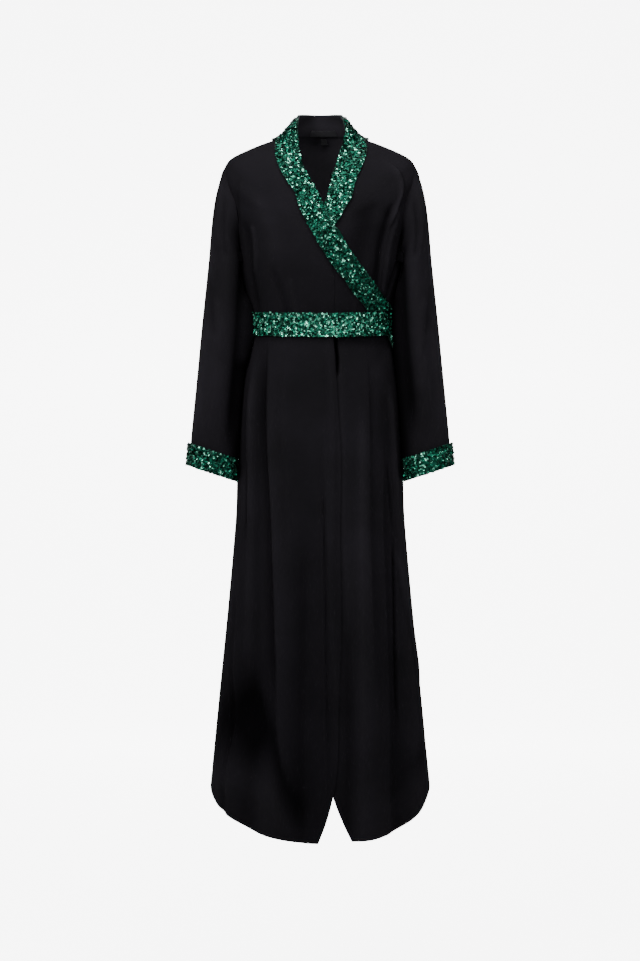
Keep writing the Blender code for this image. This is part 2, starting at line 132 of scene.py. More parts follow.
UPPER_EDGE = np.array((
    (-1.3500, -1.0), (-1.3152, 3.0), (-1.2718, 6.7), (-1.1012, 10.5), (-0.9500, 13.0),
    (-0.8066, 13.2), (-0.6241, 13.6), (-0.5870, 12.8), (-0.4897, 11.6), (-0.4171, 10.3),
    (-0.3633, 10.7), (-0.2700, 7.5), (-0.2511, 5.0), (-0.2229, 0.8), (-0.1614, -3.0),
    (-0.0858, -6.4), (-0.0378, -12.0), (-0.0256, -20.3), (-0.0161, -32.2), (-0.0087, -44.5),
    (-0.0028, -58.5), (0.0030, -73.0),
))
UNDER_EDGE = np.array((
    (-1.3500, 16.2), (-1.3175, 11.8), (-1.2718, 6.7), (-1.0491, 4.0), (-0.9162, 2.2),
    (-0.7193, 0.7), (-0.5500, -0.5), (-0.3633, -1.0), (-0.2300, 1.0), (-0.1288, 5.0),
    (-0.0752, 9.2), (-0.0463, 14.8), (-0.0251, 22.6), (-0.0137, 37.0), (-0.0058, 54.0),
    (0.0030, 73.0),
))
TUCK = np.array((
    (-1.350, 0.0026, 20.0, 45.0), (-0.700, 0.0028, 20.0, 45.0), (-0.500, 0.0036, 26.0, 60.0),
    (-0.420, 0.0050, 70.0, 86.0), (-0.330, 0.0056, 70.0, 86.0), (-0.270, 0.0056, 46.0, 72.0),
    (-0.160, 0.0056, 24.0, 54.0), (-0.020, 0.0054, 12.0, 44.0), (0.030, 0.0054, 6.0, 30.0),
))
# Swing of the hem at the wearer's right: a hollow with a roll of cloth under it, round the
# body; each row has the middle and half height of both and how strong they are.
Swing = namedtuple("Swing", "angle hollow_z hollow_half roll_z roll_half strength")
SWING = np.array((
    Swing(-84.0, -1.190, 0.060, -1.300, 0.035, 0.0),
    Swing(-74.0, -1.185, 0.060, -1.296, 0.034, 0.7),
    Swing(-60.0, -1.171, 0.065, -1.286, 0.032, 1.0),
    Swing(-34.0, -1.165, 0.064, -1.276, 0.032, 1.0),
    Swing(-26.0, -1.200, 0.048, -1.288, 0.030, 0.8),
    Swing(-20.0, -1.258, 0.030, -1.318, 0.026, 0.6),
    Swing(-12.0, -1.290, 0.028, -1.342, 0.022, 0.4),
    Swing(-5.0, -1.300, 0.028, -1.350, 0.020, 0.0),
))
Dent = namedtuple("Dent", "angle side_z half_angle half_z height")
DENTS = (
    Dent(64.0, -1.258, 15.0, 0.030, -0.0060), Dent(44.0, -1.318, 16.0, 0.022, 0.0028),
    Dent(24.0, -1.215, 8.0, 0.060, -0.0026), Dent(130.0, -1.220, 16.0, 0.050, -0.0060),
    Dent(205.0, -1.250, 20.0, 0.040, -0.0060), Dent(170.0, -1.310, 16.0, 0.026, 0.0030),
)


def smooth(stations, values, at):
    """Value between the rows of a table, with rounded changes of direction."""
    slopes = np.gradient(values, stations)
    at = np.clip(at, stations[0], stations[-1])
    k = np.clip(np.searchsorted(stations, at) - 1, 0, len(stations) - 2)
    step = stations[k + 1] - stations[k]
    t = (at - stations[k]) / step
    return ((1 + 2 * t) * (1 - t) ** 2 * values[k] + t * (1 - t) ** 2 * step * slopes[k]
            + t * t * (3 - 2 * t) * values[k + 1] + t * t * (t - 1) * step * slopes[k + 1])


def ease(t):
    """0 up to t = 0 and 1 from t = 1, with a soft start and end between."""
    t = np.clip(t, 0.0, 1.0)
    return t * t * (3 - 2 * t)


def ring(side_z, angle):
    """Points of the bare body surface, before its folds are added."""
    side_z = np.asarray(side_z, float)
    turn = np.radians(np.asarray(angle, float))
    w, f, b, fz, bz = (smooth(BODY[:, 0], BODY[:, i], side_z) for i in range(1, 6))
    c = np.cos(turn)
    front = c > 0
    share = np.abs(c) ** np.interp(side_z, [-1.35, -0.45], [1.2, 2.0])
    top = np.interp(side_z, [0.003, 0.047], [0.0, 1.0])
    level_low = np.minimum(1.0, 1.4 * np.abs(c) ** 1.5)
    level_top = np.minimum(0.32 + 0.69 * np.abs(c), 2.6 * np.abs(c) ** 1.2)
    level_back = level_low + (level_top - level_low) * top
    rise = np.interp(side_z, [-0.020, 0.003], [0.0, 1.0])
    share = np.where(front, share, share + (level_back - share) * rise)
    z = side_z + (np.where(front, fz, bz) - side_z) * share
    return np.stack([w * np.sin(turn), -np.where(front, f, b) * c, z], -1)


def drape(side_z, angle, creases):
    """Outward rise of folds and creases."""
    total = np.zeros(np.broadcast(side_z, angle).shape)
    for fold in FOLDS:
        along = (fold.top_z - side_z) / (fold.top_z - fold.bottom_z)
        middle = fold.top_angle + (fold.bottom_angle - fold.top_angle) * np.clip(along, 0, 1)
        off = (np.mod(angle - middle + 180.0, 360.0) - 180.0) / fold.width
        total = total + fold.height * ease(along * 2.2) * np.exp(-off * off)
    for fold in creases:
        along = (fold.top_z - side_z) / (fold.top_z - fold.bottom_z)
        middle = fold.top_angle + (fold.bottom_angle - fold.top_angle) * along
        middle = middle + 0.9 * np.sin(along * 5.0 + fold.top_angle)
        off = np.mod(angle - middle + 180.0, 360.0) - 180.0
        off = off / np.where(off < 0.0, fold.right, fold.left)
        ends = ease(along / 0.18)
        if fold.bottom_z > HEM_Z + 0.012:
            ends = ends * ease((1.0 - along) / 0.3)
        total = total + fold.height * ends * np.exp(-off * off)
    return total


def body(side_z, angle, out=0.0, creases=()):
    """Points on the body surface with its folds, moved outward by out."""
    side_z, angle, out = np.broadcast_arrays(np.asarray(side_z, float), angle, out)
    round_way = ring(side_z, angle + 0.5) - ring(side_z, angle - 0.5)
    up_way = ring(side_z + 0.0015, angle) - ring(side_z - 0.0015, angle)
    normal = np.cross(round_way, up_way)
    normal /= np.linalg.norm(normal, axis=-1, keepdims=True)
    return ring(side_z, angle) + normal * (drape(side_z, angle, creases) + out)[..., None]


def tuck(side_z, angle):
    """How far the under front goes in, so that it lies behind the upper one."""
    depth, full, gone = (np.interp(side_z, TUCK[:, 0], TUCK[:, i]) for i in (1, 2, 3))
    return -depth * (1.0 - ease((angle - full) / (gone - full)))


# Painted shade: how much darker the foot is painted, and the fold depth at which painted shade or
# light is full.
FOOT_PAINTED_SHADE = 0.28
PAINTED_SHADE_DEPTH = 0.018


def painted_depth_shade(rise, side_z):
    """How light the cloth is painted: troughs of folds darker than ridges as painted shade,
    ridges lighter as painted light, and darker towards the foot.
    """
    low = 1.0 - FOOT_PAINTED_SHADE * ease((-0.55 - side_z) / 0.75)
    return np.clip(1.0 + rise / PAINTED_SHADE_DEPTH, 0.30, 1.50) * low


def cloth_piece(name, nodes, points, wall, material, around=False, shade=1.0):
    """A cut of cloth: a grid of points given a wall, standing for its CAD nodes."""
    rows, columns = points.shape[:2]
    index = np.arange(rows * columns).reshape(rows, columns)
    if around:
        index = np.concatenate([index, index[:, :1]], axis=1)
    faces = np.stack([index[:-1, :-1], index[:-1, 1:], index[1:, 1:], index[1:, :-1]], -1)
    mesh = bpy.data.meshes.new(name)
    mesh.from_pydata(points.reshape(-1, 3).tolist(), [], faces.reshape(-1, 4).tolist())
    # The attribute carries painted shade and light, which scales the cloth's colour.
    painted_light_and_tone = mesh.attributes.new("painted_light_and_tone", "FLOAT", "POINT")
    shade = np.broadcast_to(np.asarray(shade, np.float32), (rows, columns))
    painted_light_and_tone.data.foreach_set("value", shade.ravel())
    piece = bpy.data.objects.new(name, mesh)
    bpy.context.collection.objects.link(piece)
    bpy.ops.object.select_all(action="DESELECT")
    bpy.context.view_layer.objects.active = piece
    piece.select_set(True)
    shell = piece.modifiers.new("wall", "SOLIDIFY")
    shell.thickness = wall
    shell.offset = 0.0
    bpy.ops.object.modifier_apply(modifier=shell.name)
    bpy.ops.object.shade_smooth_by_angle(angle=math.radians(50))
    piece.data.materials.append(material)
    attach(piece, "root")
    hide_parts(*nodes)
    return piece


def area_of(points, around=False):
    """Area of a surface given as rows of points, closed into a tube if around."""
    closed = np.concatenate([points, points[:, :1]], axis=1) if around else points
    one = np.cross(closed[1:, :-1] - closed[:-1, :-1], closed[:-1, 1:] - closed[:-1, :-1])
    two = np.cross(closed[1:, :-1] - closed[1:, 1:], closed[:-1, 1:] - closed[1:, 1:])
    return float((np.linalg.norm(one, axis=-1).sum() + np.linalg.norm(two, axis=-1).sum()) / 2)


def crepe(name, colour, roughness, sheen, shine):
    """Black crepe: a fine grained face with a low soft shine; its colour is scaled by painted
    shade and light from an attribute.
    """
    made = bpy.data.materials.new(name)
    made.use_nodes = True
    nodes, links = made.node_tree.nodes, made.node_tree.links
    shader = nodes["Principled BSDF"]
    shader.inputs["Roughness"].default_value = roughness
    shader.inputs["Specular IOR Level"].default_value = shine
    shader.inputs["Sheen Weight"].default_value = sheen
    shader.inputs["Sheen Roughness"].default_value = 0.45
    place = nodes.new("ShaderNodeTexCoord")
    grain = nodes.new("ShaderNodeTexNoise")
    grain.inputs["Scale"].default_value = 1500.0
    grain.inputs["Detail"].default_value = 2.0
    cloudy = nodes.new("ShaderNodeTexNoise")
    cloudy.inputs["Scale"].default_value = 7.0
    links.new(place.outputs["Object"], grain.inputs["Vector"])
    links.new(place.outputs["Object"], cloudy.inputs["Vector"])
    tint = nodes.new("ShaderNodeValToRGB")
    tint.color_ramp.elements[0].position = 0.3
    tint.color_ramp.elements[0].color = (colour[0] * 0.85, colour[1] * 0.85, colour[2] * 0.85, 1)
    tint.color_ramp.elements[1].position = 0.7
    tint.color_ramp.elements[1].color = (colour[0] * 1.15, colour[1] * 1.12, colour[2] * 1.18, 1)
    links.new(cloudy.outputs["Fac"], tint.inputs["Fac"])
    # Painted shade and light: the base colour is scaled by the attribute.
    painted_light_and_tone = nodes.new("ShaderNodeAttribute")
    painted_light_and_tone.attribute_name = "painted_light_and_tone"
    deep = nodes.new("ShaderNodeVectorMath")
    deep.operation = "MULTIPLY"
    links.new(tint.outputs["Color"], deep.inputs[0])
    links.new(painted_light_and_tone.outputs["Color"], deep.inputs[1])
    links.new(deep.outputs["Vector"], shader.inputs["Base Color"])
    bump = nodes.new("ShaderNodeBump")
    bump.inputs["Strength"].default_value = 0.12
    bump.inputs["Distance"].default_value = 0.0003
    links.new(grain.outputs["Fac"], bump.inputs["Height"])
    links.new(bump.outputs["Normal"], shader.inputs["Normal"])
    return made


black_crepe = crepe("black crepe", (0.0090, 0.0084, 0.0098), 0.60, 0.0, 0.0)


ROLL_OUT = 0.0060
HOLLOW_IN = 0.0150
HEM_TURN = 0.030
HEM_STITCH = 0.0005


def hem_and_bulge(side_z, angle):
    """The swing of the hem at the wearer's right, and the line of the turned-up hem."""
    hollow_z, hollow_half, roll_z, roll_half, strength = (
        smooth(SWING[:, 0], SWING[:, i], angle) for i in range(1, 6))
    above = (side_z - hollow_z) / hollow_half
    below = (side_z - roll_z) / roll_half
    swing = strength * (ROLL_OUT * np.exp(-below * below) - HOLLOW_IN * np.exp(-above * above))
    for dent in DENTS:
        off = (np.mod(angle - dent.angle + 180.0, 360.0) - 180.0) / dent.half_angle
        rise = (side_z - dent.side_z) / dent.half_z
        swing = swing + dent.height * np.exp(-off * off - rise * rise)
    hem = (side_z - (HEM_Z + HEM_TURN)) / 0.0022
    return swing - HEM_STITCH * np.exp(-hem * hem)


def lengths(side):
    """The CAD builds each skirt cut in three lengths; the cloth is one."""
    return ["skirt_" + part + "_" + side for part in ("hip", "knee", "calf")]


SKIRT_ROWS = np.concatenate([np.linspace(HEM_Z, -1.26, 26)[:-1],
                             np.linspace(-1.26, WAIST_Z - SEAM, 150)])[:, None]
upper = smooth(UPPER_EDGE[:, 0], UPPER_EDGE[:, 1], SKIRT_ROWS)
angles = -SIDE_SEAM + (upper + SIDE_SEAM) * np.linspace(0, 1, 110)
points = body(SKIRT_ROWS, angles, hem_and_bulge(SKIRT_ROWS, angles), CREASES)
# Painted shade in the fold troughs and painted light on the ridges, here and for the other skirt
# pieces.
rise = drape(SKIRT_ROWS, angles, CREASES) + hem_and_bulge(SKIRT_ROWS, angles)
skirt_right = cloth_piece("skirt_right_cloth", lengths("right"), points, CLOTH, black_crepe,
                          shade=painted_depth_shade(rise, SKIRT_ROWS))
under = smooth(UNDER_EDGE[:, 0], UNDER_EDGE[:, 1], SKIRT_ROWS)
angles = under + (SIDE_SEAM - under) * np.linspace(0, 1, 100)
points = body(SKIRT_ROWS, angles, tuck(SKIRT_ROWS, angles) + hem_and_bulge(SKIRT_ROWS, angles),
              CREASES)
LEFT_HEM_DROP = 0.008
drop_round = ease((angles - 12.0) / 20.0) * ease((80.0 - angles) / 30.0)
points[..., 2] -= LEFT_HEM_DROP * ease((-1.20 - SKIRT_ROWS) / 0.15) * drop_round
rise = drape(SKIRT_ROWS, angles, CREASES) + hem_and_bulge(SKIRT_ROWS, angles)
shade = painted_depth_shade(rise, SKIRT_ROWS)
skirt_left = cloth_piece("skirt_left_cloth", lengths("left"), points, CLOTH, black_crepe,
                         shade=shade)
angles = np.linspace(180.0 - SIDE_SEAM, 180.0 + SIDE_SEAM, 150)[None, :]
points = body(SKIRT_ROWS, angles, hem_and_bulge(SKIRT_ROWS, angles), CREASES)
rise = drape(SKIRT_ROWS, angles, CREASES) + hem_and_bulge(SKIRT_ROWS, angles)
shade = painted_depth_shade(rise, SKIRT_ROWS)
skirt_back = cloth_piece("skirt_back_cloth", lengths("back"), points, CLOTH, black_crepe,
                         shade=shade)

# Bodice: two fronts that cross over and one back, of the same crepe, joined at shoulder and
# side seams and cut away for the sleeves. The upper front goes on past the middle as a
# three-cornered wrap panel that ends under the belt.
ARMHOLE_Z = -0.144
ARMHOLE_HIGH = 0.094
ARMHOLE_WIDE = 30.0
BODICE_CREASES = (
    # wearer's right front
    Crease(-0.17, -0.27, -69.0, -80.0, 1.2, 3.0, -0.0045),
    Crease(-0.17, -0.31, -45.0, -52.5, 3.0, 1.2, 0.0045),
    Crease(-0.16, -0.40, -55.0, -57.0, 3.0, 5.0, -0.0040),
    Crease(-0.06, -0.30, -38.0, -30.0, 8.0, 6.0, 0.0026),
    Crease(-0.27, -0.40, -34.0, -26.0, 2.0, 4.0, -0.0022),
    Crease(-0.29, -0.40, -22.0, -17.0, 3.0, 2.0, 0.0018),
    Crease(-0.05, -0.20, -56.0, -60.0, 3.0, 2.0, -0.0020),
    # wearer's left front
    Crease(-0.02, -0.20, 56.5, 48.0, 2.6, 1.5, 0.0056),
    Crease(-0.10, -0.36, 45.0, 49.0, 5.0, 1.5, -0.0075),
    Crease(-0.12, -0.37, 52.0, 56.0, 1.6, 4.0, 0.0040),
    Crease(-0.15, -0.37, 68.5, 64.0, 3.0, 1.4, -0.0055),
    Crease(-0.14, -0.27, 80.0, 90.0, 3.0, 1.2, -0.0040),
    Crease(-0.05, -0.32, 30.0, 27.0, 9.0, 9.0, -0.0055),
    Crease(-0.26, -0.40, 30.0, 25.0, 2.0, 3.0, 0.0016),
    # back
    Crease(-0.05, -0.40, 122.0, 128.0, 4.0, 6.0, -0.0036),
    Crease(-0.08, -0.40, 140.0, 148.0, 4.0, 6.0, 0.0030),
    Crease(-0.20, -0.40, 164.0, 166.0, 3.4, 2.0, -0.0028),
    Crease(-0.16, -0.40, 190.0, 187.0, 4.0, 3.0, 0.0022),
    Crease(-0.05, -0.40, 214.0, 210.0, 6.0, 4.0, -0.0036),
    Crease(-0.10, -0.40, 236.0, 230.0, 4.0, 6.0, 0.0030),
)
fine_armhole = ARMHOLE_Z + ARMHOLE_HIGH * np.cos(np.radians(np.linspace(180, 0, 49)))
BODICE_ROWS = np.concatenate([
    np.linspace(WAIST_Z, -0.240, 30), fine_armhole,
    np.array([-0.0475, -0.045, -0.042, -0.039, -0.036, -0.033, -0.030, -0.027, -0.0243,
              -0.0217, -0.0192, -0.0168, -0.0146, -0.0125, -0.0105, -0.0086, -0.0068,
              -0.0050, -0.0033, -0.0016, 0.0000, 0.0015, 0.0030]),
])[:, None]
reach = np.clip((BODICE_ROWS - ARMHOLE_Z) / ARMHOLE_HIGH, -1, 1)
side = SIDE_SEAM - ARMHOLE_WIDE * np.sqrt(1.0 - reach * reach)
upper = smooth(UPPER_EDGE[:, 0], UPPER_EDGE[:, 1], BODICE_ROWS)
angles = -side + (upper + side) * np.linspace(0, 1, 90)
points = body(BODICE_ROWS, angles, 0.0, BODICE_CREASES)
# Painted shade in the fold troughs and painted light on the ridges, here and for the other bodice
# pieces.
shade = painted_depth_shade(drape(BODICE_ROWS, angles, BODICE_CREASES), BODICE_ROWS)
bodice_right = cloth_piece("bodice_right_cloth", ["bodice_right"], points, CLOTH, black_crepe,
                           shade=shade)
under = smooth(UNDER_EDGE[:, 0], UNDER_EDGE[:, 1], BODICE_ROWS)
angles = under + (side - under) * np.linspace(0, 1, 90)
points = body(BODICE_ROWS, angles, tuck(BODICE_ROWS, angles), BODICE_CREASES)
shade = painted_depth_shade(drape(BODICE_ROWS, angles, BODICE_CREASES), BODICE_ROWS)
bodice_left = cloth_piece("bodice_left_cloth", ["bodice_left"], points, CLOTH, black_crepe,
                          shade=shade)
angles = (180.0 - side) + 2.0 * side * np.linspace(0, 1, 130)
points = body(BODICE_ROWS, angles, 0.0, BODICE_CREASES)
shade = painted_depth_shade(drape(BODICE_ROWS, angles, BODICE_CREASES), BODICE_ROWS)
bodice_back = cloth_piece("bodice_back_cloth", ["bodice_back"], points, CLOTH, black_crepe,
                          shade=shade)
# The inner face of the back shows in the neck; painted light makes it lighter there, by a share
# set to match the photo; what makes the real one lighter isn't known.
INNER_PAINTED_LIGHT = 3.0
outside = len(points.reshape(-1, 3))
halves = np.array([v.co for v in bodice_back.data.vertices]).reshape(-1, 3)
reach_out = np.hypot(halves[:, 0], halves[:, 1])
inner = reach_out[outside:].mean() < reach_out[:outside].mean()
painted_tones = np.array([v.value for v in bodice_back.data.attributes["painted_light_and_tone"].data], np.float32)
painted_tones[slice(outside, None) if inner else slice(outside)] *= INNER_PAINTED_LIGHT
bodice_back.data.attributes["painted_light_and_tone"].data.foreach_set("value", painted_tones)
wrap_rows = np.linspace(-0.405, -0.276, 50)
seam_z = np.array((-0.3600, -0.3438, -0.3225, -0.2987, -0.2807, -0.2511))
seam_angle = np.array((38.9, 32.3, 23.4, 16.7, 10.7, 3.0))
wrap_start = smooth(UPPER_EDGE[:, 0], UPPER_EDGE[:, 1], wrap_rows) + 0.16
wrap_end = np.interp(wrap_rows, seam_z, seam_angle) + 3.0
wrap_end = np.where(wrap_rows < -0.362, 41.9 + (-0.362 - wrap_rows) * 140.0, wrap_end)
angles = wrap_start[:, None] + (wrap_end - wrap_start)[:, None] * np.linspace(0, 1, 40)
points = body(wrap_rows[:, None], angles, 0.0, BODICE_CREASES)
wrap_panel = cloth_piece("wrap_panel_cloth", ["wrap_panel"], points, CLOTH, black_crepe)

# Sleeves: long, set in at the armhole seam, slightly forward as arms hang, of the same crepe.
# A long soft fold runs down the inner front of each, with short breaks at the elbow.
Sleeve = namedtuple("Sleeve", "z centre_x centre_y half_x half_y tilt")
SLEEVE = np.array((
    Sleeve(-0.262, 0.1888, -0.008, 0.0448, 0.0660, 0.00),
    Sleeve(-0.330, 0.1930, -0.014, 0.0470, 0.0610, 0.05),
    Sleeve(-0.400, 0.1973, -0.020, 0.0493, 0.0560, 0.12),
    Sleeve(-0.470, 0.2033, -0.026, 0.0493, 0.0500, 0.18),
    Sleeve(-0.540, 0.2098, -0.032, 0.0488, 0.0440, 0.24),
    Sleeve(-0.600, 0.2150, -0.036, 0.0490, 0.0380, 0.30),
    Sleeve(-0.640, 0.2187, -0.038, 0.0488, 0.0340, 0.33),
    Sleeve(-0.664, 0.2201, -0.039, 0.0487, 0.0325, 0.33),
))[::-1]
SLEEVE_CLEAR = 0.0062
FOLD_CLEAR = 0.0035
RIDGE_PAINTED_LIGHT_CAP = 0.002
# Painted shade on the sleeve's inner side and under the arm, painted light on its outer side.
INNER_PAINTED_SHADE, OUTER_PAINTED_LIGHT, UNDERARM_PAINTED_SHADE = 0.74, 0.60, 0.60
AROUND = np.linspace(0, 2 * np.pi, 120, endpoint=False)

# Sleeve folds: start and end along the sleeve (0 at the armhole, 1 at the wrist) and round it
# (0 outside, 90 front, 180 inside), half width in degrees, outward height.
Wrinkle = namedtuple("Wrinkle", "start end start_turn end_turn width height")
SLEEVE_FOLDS = (
    Wrinkle(0.12, 0.90, 84, 80, 16, 0.0030),
    Wrinkle(0.00, 0.30, 40, 62, 14, 0.0030),
    Wrinkle(0.02, 0.36, 66, 84, 9, -0.0034),
    Wrinkle(0.40, 0.62, 30, 70, 12, -0.0026),
    Wrinkle(0.46, 0.70, 60, 92, 9, 0.0024),
    Wrinkle(0.55, 0.95, 40, 34, 14, 0.0022),
    Wrinkle(0.15, 0.60, 250, 262, 14, -0.0040),
    Wrinkle(0.40, 0.95, 284, 276, 13, 0.0034),
    Wrinkle(0.50, 0.75, 320, 290, 12, -0.0026),
    Wrinkle(0.05, 0.45, 330, 318, 16, 0.0030),
)


def body_half_width(y, z):
    """How far the body reaches to one side at a depth and height."""
    side_z = np.array(z, float)
    for _ in range(6):
        w, f, b, fz, bz = (smooth(BODY[:, 0], BODY[:, i], side_z) for i in range(1, 6))
        share = np.clip(np.abs(y) / np.where(y < 0, f, b), 0, 1)
        side_z = z - (np.where(y < 0, fz, bz) - side_z) * share ** 2
    return w * np.sqrt(1.0 - share ** 2)


def sleeve_ring(row, clear):
    """One ring of the left sleeve, kept clear of the body."""
    x = row[1] + row[3] * np.cos(AROUND)
    y = row[2] - row[4] * np.sin(AROUND)
    z = row[0] + row[5] * row[3] * np.cos(AROUND)
    return np.stack([np.maximum(x, body_half_width(y, z) + clear), y, z], -1)


def sleeve_points(folds):
    """Rings of the left sleeve from the armhole to the wrist, and the painted shade and light of
    each point.
    """
    angle = 90.0 - (ARMHOLE_WIDE - 0.15) * np.sin(AROUND)
    start = body(ARMHOLE_Z + (ARMHOLE_HIGH - 0.0004) * np.cos(AROUND), angle, 0.0002,
                 BODICE_CREASES)
    first = sleeve_ring(SLEEVE[-1], SLEEVE_CLEAR)
    span = np.linalg.norm(first - start, axis=1)[:, None]
    top, foot = np.maximum(np.cos(AROUND), 0), np.maximum(-np.cos(AROUND), 0)
    leave = np.stack([0.85 - 0.44 * top - 0.50 * foot, -0.45 * np.sin(AROUND),
                      -0.45 - 0.46 * top - 0.50 * foot], -1)
    leave /= np.linalg.norm(leave, axis=1)[:, None]
    arrive = np.stack([0.10 * np.cos(AROUND) ** 2, 0 * AROUND, -1.0 + 0 * AROUND], -1)
    rings = []
    for t in np.linspace(0, 1, 49)[:-1]:
        at = ((1 + 2 * t) * (1 - t) ** 2 * start + t * (1 - t) ** 2 * span * leave
              + t * t * (3 - 2 * t) * first + t * t * (t - 1) * span * arrive)
        if t > 0:
            least = body_half_width(at[:, 1], at[:, 2]) + SLEEVE_CLEAR * min(1.0, 1.6 * t)
            at[:, 0] = np.maximum(at[:, 0], least)
        rings.append(at)
    for z in np.linspace(-0.262, -0.664, 90):
        row = [z] + [smooth(SLEEVE[:, 0], SLEEVE[:, i], z) for i in range(1, 6)]
        rings.append(sleeve_ring(row, SLEEVE_CLEAR))
    points = np.array(rings)
    along = np.linspace(0, 1, len(points))[:, None]
    turn = np.degrees(AROUND)[None, :]
    rise = np.zeros((len(points), len(AROUND)))
    for fold in folds:
        t = (along - fold.start) / (fold.end - fold.start)
        middle = fold.start_turn + (fold.end_turn - fold.start_turn) * t
        off = (np.mod(turn - middle + 180.0, 360.0) - 180.0) / fold.width
        rise += fold.height * ease(t / 0.2) * ease((1.0 - t) / 0.2) * np.exp(-off * off)
    closed = np.concatenate([points[:, -1:], points, points[:, :1]], axis=1)
    way_round = closed[:, 2:] - closed[:, :-2]
    way_down = np.gradient(points, axis=0)
    normal = np.cross(way_round, way_down)
    normal /= np.maximum(np.linalg.norm(normal, axis=-1, keepdims=True), 1e-9)
    outward = points - points.mean(axis=1, keepdims=True)
    normal *= np.sign((normal * outward).sum(-1, keepdims=True))
    keep = ease(along / 0.06) * ease((1.0 - along) / 0.05)
    moved = points + normal * (rise * keep)[..., None]
    least = body_half_width(moved[..., 1], moved[..., 2]) + FOLD_CLEAR
    moved[60:, :, 0] = np.maximum(moved[60:, :, 0], least[60:])
    # Painted shade: the inner side and the underarm are painted darker; painted light: the outer
    # side lighter, ridges only a little.
    inner = np.exp(-((turn - 156.0) / 28.0) ** 2) * ease((along - 0.20) / 0.30)
    outer = np.exp(-(np.minimum(turn, 360.0 - turn) / 55.0) ** 2) * ease((along - 0.06) / 0.3)
    pit = np.exp(-((turn - 150.0) / 40.0) ** 2 - ((along - 0.20) / 0.12) ** 2)
    shade = painted_depth_shade(np.minimum(rise * keep, RIDGE_PAINTED_LIGHT_CAP), 0.0)
    shade = shade * (1.0 - INNER_PAINTED_SHADE * inner) * (1.0 + OUTER_PAINTED_LIGHT * outer)
    return moved, shade * (1.0 - UNDERARM_PAINTED_SHADE * pit)


# The deep fold of each sleeve; the right one also swells inward over the end of the belt.
deep_left = (Wrinkle(0.14, 0.95, 126, 122, 17, -0.0104),)
deep_right = (Wrinkle(0.14, 1.00, 138, 133, 18, -0.0105),
              Wrinkle(0.22, 0.66, 166, 162, 22, 0.0120),
              Wrinkle(0.44, 0.70, 152, 150, 15, 0.0130))
for side_name, sign, own in (("left", 1.0, deep_left), ("right", -1.0, deep_right)):
    points, shade = sleeve_points(SLEEVE_FOLDS + own)
    points = points * np.array([sign, 1.0, 1.0])
    nodes = ["sleeve_" + side_name + length for length in ("_cap", "_elbow", "_forearm")]
    piece = cloth_piece("sleeve_" + side_name + "_cloth", nodes, points, CLOTH, black_crepe,
                        around=True, shade=shade)

# Neck bands and back collar: a folded strip of dark green cloth about 46 mm wide, sewn to the
# neck edge and covered all over with small cupped emerald sequins, each held by one stitch so
# that they tilt every way and catch the light singly.
TRIM = 0.0022
TRIM_OUT = 0.0027
# Flat area of a strip, as a share of its surface or of its flat size if that is less; it is
# worked out for the cuffs but not kept.
STRIP_SHARE = 0.995
Station = namedtuple("Station", "seam_angle seam_z fold_angle fold_z")
UPPER_BAND = (
    Station(-89.9, -0.0010, -89.9, 0.0470), Station(-79.0, 0.0000, -74.0, 0.0450),
    Station(-70.0, -0.0002, -62.5, 0.0380), Station(-61.8, -0.0028, -48.5, 0.0275),
    Station(-47.9, -0.0087, -33.5, 0.0095), Station(-35.6, -0.0161, -21.5, -0.0022),
    Station(-23.7, -0.0256, -10.8, -0.0122), Station(-15.3, -0.0378, -4.5, -0.0225),
    Station(-9.6, -0.0858, 1.0, -0.0410), Station(-6.0, -0.1614, 5.5, -0.0850),
    Station(-2.2, -0.2229, 9.4, -0.1602), Station(3.0, -0.2511, 15.4, -0.2232),
    Station(10.7, -0.2807, 24.5, -0.2600), Station(16.7, -0.2987, 34.5, -0.2900),
    Station(23.4, -0.3225, 46.0, -0.3170), Station(32.3, -0.3438, 59.0, -0.3400),
    Station(38.9, -0.3600, 73.1, -0.3590),
)
UNDER_BAND = (
    Station(89.9, -0.0010, 89.9, 0.0470), Station(79.0, 0.0000, 75.0, 0.0420),
    Station(71.0, -0.0002, 63.0, 0.0310), Station(57.6, -0.0058, 44.0, 0.0210),
    Station(40.6, -0.0137, 31.0, 0.0085), Station(26.1, -0.0251, 14.2, -0.0065),
    Station(18.3, -0.0463, 7.1, -0.0219), Station(12.5, -0.0752, 3.0, -0.0420),
    Station(9.1, -0.1288, -1.5, -0.0850), Station(6.5, -0.1750, -4.5, -0.1420),
    Station(4.0, -0.2150, -7.5, -0.1900),
)


def green_ground():
    """The cloth under the sequins, of which little shows."""
    made = bpy.data.materials.new("dark green ground cloth")
    made.use_nodes = True
    nodes, links = made.node_tree.nodes, made.node_tree.links
    shader = nodes["Principled BSDF"]
    shader.inputs["Roughness"].default_value = 0.7
    place = nodes.new("ShaderNodeTexCoord")
    weave = nodes.new("ShaderNodeTexNoise")
    weave.inputs["Scale"].default_value = 900.0
    links.new(place.outputs["Object"], weave.inputs["Vector"])
    tint = nodes.new("ShaderNodeValToRGB")
    tint.color_ramp.elements[0].color = (0.000, 0.010, 0.006, 1)
    tint.color_ramp.elements[1].color = (0.001, 0.030, 0.018, 1)
    links.new(weave.outputs["Fac"], tint.inputs["Fac"])
    links.new(tint.outputs["Color"], shader.inputs["Base Color"])
    return made


